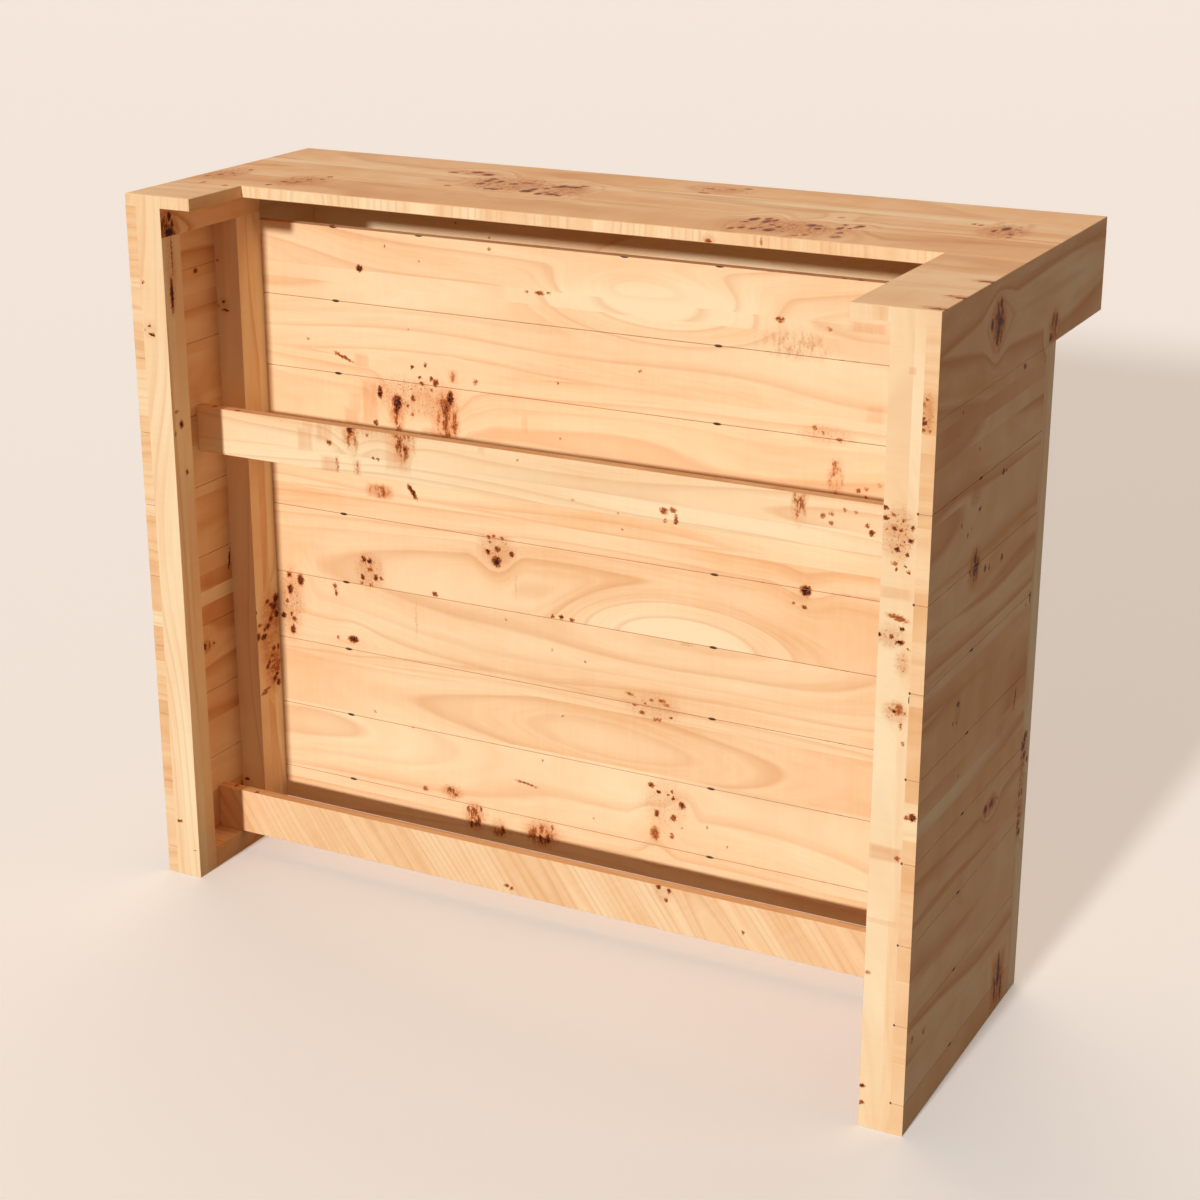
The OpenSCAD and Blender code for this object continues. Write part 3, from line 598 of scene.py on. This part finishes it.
# Top of the counter and every face like it: grain from side to side
topFace = {
    "axes": "xyz", "plane": "xy", "seed": 57.0, "tone": 0.15, "lines": 2, "bow": 30, "ring": 8, "pith": 40,
    "fleck": 6,
    "laths": [(-240, 0.15), (-120, 0.2), (-20, 0.35), (84, 0.25), (106, 0.3), (180, 0.25), (207, -0.05),
              (232, 0.3)],
    "eyes": [
        (-332, 241, 10, 5, 0.7), (-298, 257, 11, 9, 0.75), (-273, 245, 10, 9, 0.9), (-244, 171, 7, 10, 0.7),
        (-245, 196, 7, 10, 0.75), (-247, 215, 7, 8, 0.75), (-226, 202, 5, 9, 0.9), (-202, 139, 8, 7, 0.85),
        (-212, 138, 7, 6, 0.7), (-198, 191, 7, 9, 0.7), (-182, 206, 11, 6, 0.7), (-151, 145, 10, 11, 0.95),
        (-149, 162, 6, 12, 0.9), (-125, 134, 6, 9, 0.8), (-134, 178, 5, 7, 0.7), (-129, 196, 6, 8, 0.75),
        (-122, 203, 8, 13, 0.85), (-104, 206, 15, 8, 0.9), (-93, 221, 7, 6, 0.6), (-106, 138, 11, 8, 0.9),
        (-91, 133, 7, 6, 0.6), (-121, 150, 7, 7, 0.6), (-279, 134, 7, 6, 0.4),
        (81, 288, 14, 6, 0.5), (88, 252, 11, 5, 0.5), (114, 296, 7, 5, 0.5), (133, 312, 8, 5, 0.5),
        (237, 19, 5, 9, 0.6), (248, 30, 6, 9, 0.7), (265, 30, 5, 8, 0.8), (236, 72, 4, 8, 0.7),
        (239, 93, 7, 14, 0.8), (261, 85, 6, 14, 0.75), (256, 104, 6, 10, 0.75), (269, 97, 4, 11, 0.75),
        (277, 66, 4, 6, 0.8), (292, 56, 4, 8, 0.9), (288, 30, 8, 12, 0.95), (271, 44, 3, 6, 0.8),
        (327, 87, 8, 11, 0.85), (344, 68, 6, 8, 0.85), (339, 88, 4, 5, 0.7), (345, 19, 5, 9, 0.55),
        (335, 8, 6, 4, 0.6), (370, 85, 5, 10, 0.85), (368, 110, 4, 7, 0.7), (383, 88, 4, 5, 0.75),
        (390, 110, 6, 8, 0.85), (388, 98, 4, 6, 0.75), (382, 53, 6, 7, 0.7), (387, 25, 10, 12, 0.4),
        (342, 160, 6, 7, 0.3), (573, 183, 6, 14, 0.95), (562, 163, 4, 9, 0.8), (590, 149, 4, 8, 0.8),
        (594, 127, 4, 4, 0.6), (522, 198, 4, 5, 0.5), (533, 195, 4, 5, 0.6),
        (-650, 41, 4, 6, 0.6), (-639, 59, 4, 6, 0.7), (-629, 78, 4, 6, 0.7), (-623, 116, 4, 6, 0.6),
        (-521, 17, 4, 7, 0.7), (-516, 51, 4, 7, 0.8), (-496, 56, 4, 6, 0.8), (-492, 83, 4, 7, 0.8),
        (-475, 92, 4, 5, 0.7), (-478, 118, 4, 6, 0.7), (-576, -17, 4, 6, 0.6), (-622, -10, 4, 6, 0.5),
        (660, -328, 14, 5, 0.7), (664, -260, 9, 5, 0.7), (648, -255, 9, 3, 0.5), (661, -157, 12, 6, 0.7),
    ],
    "patches": [
        (-202, 187, 80, 62, 0.85), (-101, 177, 36, 52, 0.85), (300, 58, 95, 52, 0.85),
        (575, 165, 34, 55, 0.9),
        (-495, 70, 40, 50, 0.8), (-635, 75, 30, 50, 0.8), (100, 285, 50, 30, 0.6), (-300, 250, 50, 20, 0.7),
        (658, -258, 20, 12, 0.6), (655, -325, 22, 10, 0.5), (656, -156, 20, 10, 0.5),
    ],
}

# Cut ends of the side cladding and the aprons, towards the server: the grain of the sides comes round
endFace = {
    "axes": "xzy", "plane": "xz", "seed": 17.0, "tone": 0.1, "laths": sideFace["laths"],
    "eyes": [
        (655, 994, 2, 2, 0.65), (651, 987, 3, 2, 0.65), (652, 970, 2, 3, 0.7), (652, 965, 4, 4, 0.9),
        (652, 956, 3, 3, 0.6), (660, 956, 2, 2, 0.5), (661, 457, 5, 5, 1.0), (653, 456, 3, 3, 0.6),
    ],
    "patches": [(656, 977, 8, 24, 0.7)],
    "slots": [],
}

# Small holes in the boards' joints, in columns, and at the corner of each joint on the near face, with their
# dark inside painted as shade. A size is half the width, half the height and the strength.
slots = {
    "front": (-471, 180),
    "frontTop": (-318, 29),    # only under the uppermost board
    "frontSize": (6.5, 2, 1.0),
    "side": (-161,),
    "sideSize": (6, 1.6, 0.8),
    "seam": 649.8,             # between the right side's boards and its stile
    "seamSize": (1.4, 1.8, 0.9),
}
rowCount = sum(1 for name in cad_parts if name.startswith("front_board_"))
sideRowCount = sum(1 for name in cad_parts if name.startswith("right_board_"))
for row in range(1, rowCount + 1):
    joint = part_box(f"front_board_{row}")[1].z / mm
    for x in slots["front"] + (slots["frontTop"] if row == 1 else ()):
        panelFace["slots"].append((x, joint, *slots["frontSize"], 0, "front_board"))
for row in range(2, sideRowCount + 1):
    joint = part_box(f"right_board_{row}")[1].z / mm
    postFace["slots"].append((slots["seam"], joint, *slots["seamSize"], 0, "right_near"))
    endFace["slots"].append((slots["seam"], joint, *slots["seamSize"], 0, "right_board"))
    for y in slots["side"]:
        sideFace["slots"].append((y, joint, *slots["sideSize"], 0, "right_board"))

# The lower rail was cut slanting across the grain
slantFace = dict(panelFace, turn=55, tone=0.1, laths=[], seed=71.0, eyes=[
    (-106, 48, 4, 3, 0.8), (-97, 45, 3, 3, 0.7), (156, 106, 4, 4, 0.8), (174, 102, 4, 4, 0.8),
    (169, 86, 3, 4, 0.7), (295, 62, 3, 3, 0.6),
], streaks=[], patches=[(165, 96, 16, 14, 0.3)], inlays=[], domes=[], slots=[])

faces = {
    "panel": panelFace,
    "post": postFace,
    "side": sideFace,
    "sidePost": sidePostFace,
    "end": endFace,
    "top": topFace,
    "slant": slantFace,
}
marksByFace = {name: marksOf(face) for name, face in faces.items()}
plain = {}


# One face's material on one node. Faces that no mark reaches share their figure with the rest of their kind.
def faceMaterial(node, faceName):
    here = marksIn(node, marksByFace[faceName])
    if here:
        return poplarMaterial(f"oiledPoplar_{node}_{faceName}", faces[faceName], here)
    if faceName not in plain:
        plain[faceName] = poplarMaterial(f"oiledPoplar_{faceName}", faces[faceName], [])
    return plain[faceName]


# A planed timber with its edges eased, in the place of a CAD node. shy draws it in from the box, in mm,
# and sharp names the box's sides whose own edges stay square, because they lie flush with a neighbour.
# An eased edge carries the figure of the timber's wide face.
def makeTimber(node, faceNames, ease, shy=((0, 0, 0), (0, 0, 0)), sharp=()):
    low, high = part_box(node)
    low, high = low + Vector(shy[0]) * mm, high - Vector(shy[1]) * mm
    shape = bmesh.new()
    bmesh.ops.create_cube(shape, size=1)
    bmesh.ops.scale(shape, vec=high - low, verts=shape.verts)
    bmesh.ops.translate(shape, vec=(low + high) / 2, verts=shape.verts)
    square = [("xyz".index(side[0]), (low, high)[side[1] == "+"]) for side in sharp]
    touching = 1e-6
    eased = [edge for edge in shape.edges if not any(
        all(abs(v.co[axis] - corner[axis]) < touching for v in edge.verts) for axis, corner in square)]
    bmesh.ops.bevel(shape, geom=eased, offset=ease * mm, offset_type="OFFSET", segments=3,
                    profile=0.5, affect="EDGES", material=-1)
    mesh = bpy.data.meshes.new(f"{node}_timber")
    shape.to_mesh(mesh)
    shape.free()
    for faceName in faceNames:
        mesh.materials.append(faceMaterial(node, faceName))
    thin = min(range(3), key=lambda i: (high - low)[i])
    wideFirst = 4
    for polygon in mesh.polygons:
        facing = [abs(polygon.normal[i]) * (wideFirst if i == thin else 1) for i in range(3)]
        polygon.material_index = facing.index(max(facing))
    piece = bpy.data.objects.new(f"{node}_timber", mesh)
    scene.collection.objects.link(piece)
    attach(piece, "root")
    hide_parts(node)


# Boards on edge, with a fine dark line at each joint
boards = {
    "ease": 0.9,
    "joint": 0.35,      # mm that each board stops short of the joint's middle
    "end": 0.7,         # mm that the front panel stops short of the side frames
}
for row in range(1, rowCount + 1):
    makeTimber(f"front_board_{row}", ("side", "panel", "top"), boards["ease"],
               ((boards["end"], 0, boards["joint"]), (boards["end"], 0, boards["joint"])))
for side in ("left", "right"):
    for row in range(1, sideRowCount + 1):
        foot = 0 if row == sideRowCount else boards["joint"]
        makeTimber(f"{side}_board_{row}", ("side", "end", "top"), boards["ease"],
                   ((0, 0, foot), (0, 0, boards["joint"])), ("y-",))
print("boards:", rowCount + 2 * sideRowCount)

# Counter and arms: wider arrises, which catch the light along the joints
counter = {"ease": 1.0, "joint": 0.2}
for node in ("counter_plank_near", "counter_plank_middle", "counter_plank_far"):
    makeTimber(node, ("side", "post", "top"), counter["ease"],
               ((0, counter["joint"], 0), (0, counter["joint"], 0)))
for side in ("left", "right"):
    makeTimber(f"{side}_arm_plank", ("side", "post", "top"), counter["ease"],
               ((0, 0, 0), (0, counter["joint"], 0)), ("z-",))
print("top made")

# Rails on edge, aprons, fascia and trims
rails = {"ease": 0.8, "flush": 0.4}
makeTimber("mid_rail", ("side", "panel", "top"), rails["ease"])
makeTimber("lower_rail", ("side", "slant", "top"), rails["ease"])
makeTimber("fascia", ("side", "panel", "top"), rails["ease"])
for side in ("left", "right"):
    makeTimber(f"{side}_apron", ("side", "end", "top"), rails["flush"], sharp=("y-", "z+"))
    makeTimber(f"{side}_corner_trim", ("sidePost", "post", "top"), rails["flush"])

# Side frames: their edges stay square where they lie flush with the cladding, the top or each other
frames = {"ease": 0.4}
for side, outer in (("left", "x-"), ("right", "x+")):
    for stile in ("near_stile", "far_stile"):
        makeTimber(f"{side}_{stile}", ("sidePost", "post", "top"), frames["ease"],
                   sharp=(outer, "z+"))
    for rail in ("top_rail", "bottom_rail"):
        makeTimber(f"{side}_{rail}", ("side", "post", "top"), frames["ease"],
                   sharp=(outer, "z+", "y-"))
    makeTimber(f"{side}_batten", ("sidePost", "post", "top"), frames["ease"])
makeTimber("middle_batten", ("sidePost", "post", "top"), frames["ease"])
print("frames made")

# Hardware that hides inside the joints keeps its CAD shape. Zinc plating is cool, pale and half blurred,
# and turned beech is matt and a little pink.
hardware = {
    "brightZincSteel": {
        "dark": "#a4a7ab", "light": "#c6c9cc", "metallic": 1.0, "roughness": (0.27, 0.43),
        "stretch": (900, 900, 900),      # the crystals of the plating, about 1 mm across
        "nodes": ("front_nails", "left_side_nails", "right_side_nails", "batten_screws", "top_screws"),
    },
    "turnedBeech": {
        "dark": "#c69a6c", "light": "#dcb88c", "metallic": 0.0, "roughness": (0.52, 0.68),
        "stretch": (120, 500, 500),      # short flecks, 8 mm long and 2 mm wide
        "nodes": ("frame_dowels",),
    },
}
for name, kind in hardware.items():
    material = bpy.data.materials.new(name)
    material.use_nodes = True
    tree = material.node_tree
    tree.nodes.clear()
    spot = addNode(tree, "TexCoord", {}).outputs["Object"]
    drawn = addNode(tree, "VectorMath", {0: spot, 1: kind["stretch"]}, operation="MULTIPLY")
    lines = addNode(tree, "TexNoise", {"Vector": drawn, "Scale": 1, "Detail": 3})
    colour = addNode(tree, "ValToRGB", {0: lines}, stops=[(0.3, kind["dark"]), (0.7, kind["light"])])
    smoothest, roughest = kind["roughness"]
    gloss = addNode(tree, "MapRange", {"Value": lines, "To Min": smoothest, "To Max": roughest})
    shader = addNode(tree, "BsdfPrincipled", {
        "Base Color": colour, "Roughness": gloss, "Metallic": kind["metallic"],
    })
    addNode(tree, "OutputMaterial", {"Surface": shader})
    for node in kind["nodes"]:
        for place in bpy.data.objects[node].material_slots:
            place.material = material
print("hardware finished")

# Studio: a floor that looks pale, a low key from the server's side, a weaker broad fill from above and
# behind, and a little light from all around
studio = {
    "half": 120,               # metres from the middle of the floor to its edge
    "floor": "#706960",        # for the light it throws back: a paler one would wash out the dark gaps
    "floorSeen": "#f3f0ec",    # and what the camera sees in its place
    "floorGlow": 0.22,         # how far that is lifted, so that it looks pale under this low light
    "key": 2.7,                # W/m2
    "keyColour": "#ffffff",
    "keySpread": 3,            # degrees, for shadow edges that soften with distance
    "keyFrom": (-0.03, -1.0, 0.29),
    "fill": 1.05,
    "fillColour": "#ffe6cc",
    "fillSpread": 60,
    "fillFrom": (-0.35, 0.75, 1.0),
    "around": 0.23,
    "aroundColour": "#ffeadc",
    "backdrop": "#f4f3f1",
}


# 1 for what the camera sees, straight, through glass or in a gloss, and 0 for light on its way elsewhere
def seenBy(tree):
    path = addNode(tree, "LightPath", {})
    seen = addNode(tree, "Math", {
        0: path.outputs["Is Camera Ray"], 1: path.outputs["Is Glossy Ray"],
    }, operation="MAXIMUM")
    return addNode(tree, "Math", {0: seen, 1: path.outputs["Is Transmission Ray"]}, operation="MAXIMUM")


floorMaterial = bpy.data.materials.new("paintedFloor")
floorMaterial.use_nodes = True
floorMaterial.cycles.emission_sampling = "NONE"
tree = floorMaterial.node_tree
tree.nodes.clear()
floorColour = addNode(tree, "Mix", {
    0: seenBy(tree), 6: hexColour(studio["floor"]), 7: hexColour(studio["floorSeen"]),
}, data_type="RGBA").outputs[2]
lift = addNode(tree, "Math", {0: seenBy(tree), 1: studio["floorGlow"]}, operation="MULTIPLY")
shader = addNode(tree, "BsdfPrincipled", {
    "Base Color": floorColour, "Roughness": 0.9, "Emission Color": hexColour(studio["floorSeen"]),
    "Emission Strength": lift,
})
addNode(tree, "OutputMaterial", {"Surface": shader})
floorShape = bmesh.new()
bmesh.ops.create_grid(floorShape, x_segments=1, y_segments=1, size=studio["half"])
floorMesh = bpy.data.meshes.new("floor")
floorShape.to_mesh(floorMesh)
floorShape.free()
floorMesh.materials.append(floorMaterial)
floor = bpy.data.objects.new("floor", floorMesh)
scene.collection.objects.link(floor)

for lamp in ("key", "fill"):
    lampData = bpy.data.lights.new(lamp, "SUN")
    lampData.energy = studio[lamp]
    lampData.color = hexColour(studio[f"{lamp}Colour"])[:3]
    lampData.angle = math.radians(studio[f"{lamp}Spread"])
    light = bpy.data.objects.new(lamp, lampData)
    light.rotation_euler = Vector(studio[f"{lamp}From"]).to_track_quat("Z", "Y").to_euler()
    scene.collection.objects.link(light)

world = bpy.data.worlds.new("studio")
world.use_nodes = True
world.node_tree.nodes.clear()
around = addNode(world.node_tree, "Background", {
    "Color": hexColour(studio["aroundColour"]), "Strength": studio["around"],
})
backdrop = addNode(world.node_tree, "Background", {
    "Color": hexColour(studio["backdrop"]), "Strength": 1,
})
both = addNode(world.node_tree, "MixShader", {0: seenBy(world.node_tree), 1: around, 2: backdrop})
addNode(world.node_tree, "OutputWorld", {"Surface": both})
scene.world = world
scene.view_settings.view_transform = "Standard"
print("studio lit")
